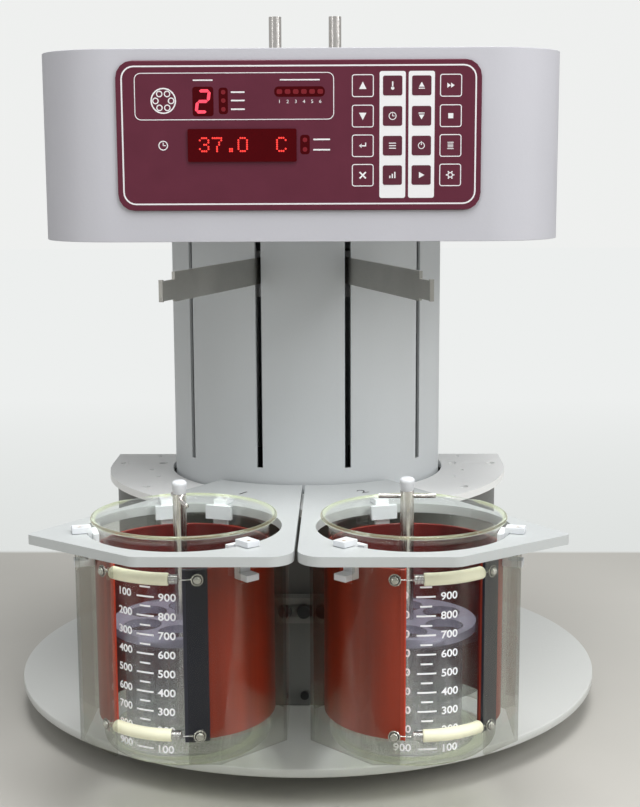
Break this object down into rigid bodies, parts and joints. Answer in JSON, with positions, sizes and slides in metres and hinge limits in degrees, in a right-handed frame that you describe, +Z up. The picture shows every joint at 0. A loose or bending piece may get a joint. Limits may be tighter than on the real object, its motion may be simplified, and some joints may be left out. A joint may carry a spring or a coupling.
{
  "type": "tablet_disintegration_tester",
  "caption": "Laboratory tablet disintegration tester with a control head on a slotted column, lift arms, heated beakers hung in plates and basket racks in them",
  "frame": {"origin": "on the bench, under the middle of the object's box in plan", "axes": "+X to the object's right as seen from the front, +Y to its back, +Z up"},
  "size_m": [0.438, 0.508, 0.5095],
  "materials": {
    "paint": "light grey paint, fine texture",
    "pale_plate": "pale grey paint",
    "deck_grey": "grey paint",
    "rubber": "black rubber",
    "panel": "maroon printed membrane",
    "window": "dark red display window",
    "steel": "plain stainless steel",
    "glass": "clear laboratory glass",
    "silicone": "brick red silicone rubber",
    "strip": "dark blue black strip",
    "sleeve": "ivory sleeve",
    "nylon": "white nylon",
    "smoke": "clear smoke grey plastic",
    "acrylic": "clear plastic, faintly purple",
    "dark": "black plastic",
    "board": "green circuit board",
    "aluminium": "plain milled aluminium"
  },
  "bodies": {
    "chassis": {"foot_front_left": "rubber", "foot_front_right": "rubber", "foot_rear_left": "rubber", "foot_rear_right": "rubber", "base_disc": "pale_plate", "lower_housing": "deck_grey", "housing_deck": "deck_grey", "column_shell": "paint", "head_shell": "paint", "head_bottom_cover": "paint", "keypad_panel": "panel", "display_window": "window", "control_board": "board", "heater_socket_block": "nylon", "power_inlet": "dark", "station_plate_left": "pale_plate", "guide_post_left": "steel", "lift_actuator_left": "dark", "heating_jacket_left": "silicone", "jacket_strip_left": "strip", "shield_left": "smoke", "clip_left_front_outer": "nylon", "clip_left_front_inner": "nylon", "clip_left_rear_inner": "nylon", "clip_left_rear_outer": "nylon", "spring_left_upper": "steel", "spring_left_lower": "steel", "sleeve_left_upper": "sleeve", "sleeve_left_lower": "sleeve", "station_plate_right": "pale_plate", "guide_post_right": "steel", "lift_actuator_right": "dark", "heating_jacket_right": "silicone", "jacket_strip_right": "strip", "shield_right": "smoke", "clip_right_front_outer": "nylon", "clip_right_front_inner": "nylon", "clip_right_rear_inner": "nylon", "spring_right_upper": "steel", "spring_right_lower": "steel", "sleeve_right_upper": "sleeve", "sleeve_right_lower": "sleeve"},
    "arm_left": {"lift_arm_left": "steel", "lift_carriage_left": "aluminium"},
    "glassware_left": {"beaker_left": "glass"},
    "basket_left": {"basket_screen_left": "steel", "basket_tubes_left": "acrylic", "basket_plate_left": "acrylic", "basket_rod_left": "steel", "basket_knob_left": "nylon"},
    "arm_right": {"lift_arm_right": "steel", "lift_carriage_right": "aluminium"},
    "glassware_right": {"beaker_right": "glass"},
    "basket_right": {"basket_screen_right": "steel", "basket_tubes_right": "acrylic", "basket_plate_right": "acrylic", "basket_rod_right": "steel", "basket_knob_right": "nylon"}
  },
  "joints": [
    {"name": "arm_lift_left", "type": "slide", "parent": "chassis", "child": "arm_left", "axis": [0, 0, 1], "range_m": [-0.105, 0.01]},
    {"name": "beaker_lift_left", "type": "slide", "parent": "chassis", "child": "glassware_left", "axis": [0, 0, 1], "range_m": [0, 0.05]},
    {"name": "basket_lift_left", "type": "slide", "parent": "glassware_left", "child": "basket_left", "axis": [0, 0, 1], "range_m": [0, 0.055]},
    {"name": "arm_lift_right", "type": "slide", "parent": "chassis", "child": "arm_right", "axis": [0, 0, 1], "range_m": [-0.105, 0.01]},
    {"name": "beaker_lift_right", "type": "slide", "parent": "chassis", "child": "glassware_right", "axis": [0, 0, 1], "range_m": [0, 0.05]},
    {"name": "basket_lift_right", "type": "slide", "parent": "glassware_right", "child": "basket_right", "axis": [0, 0, 1], "range_m": [0, 0.055]}
  ]
}
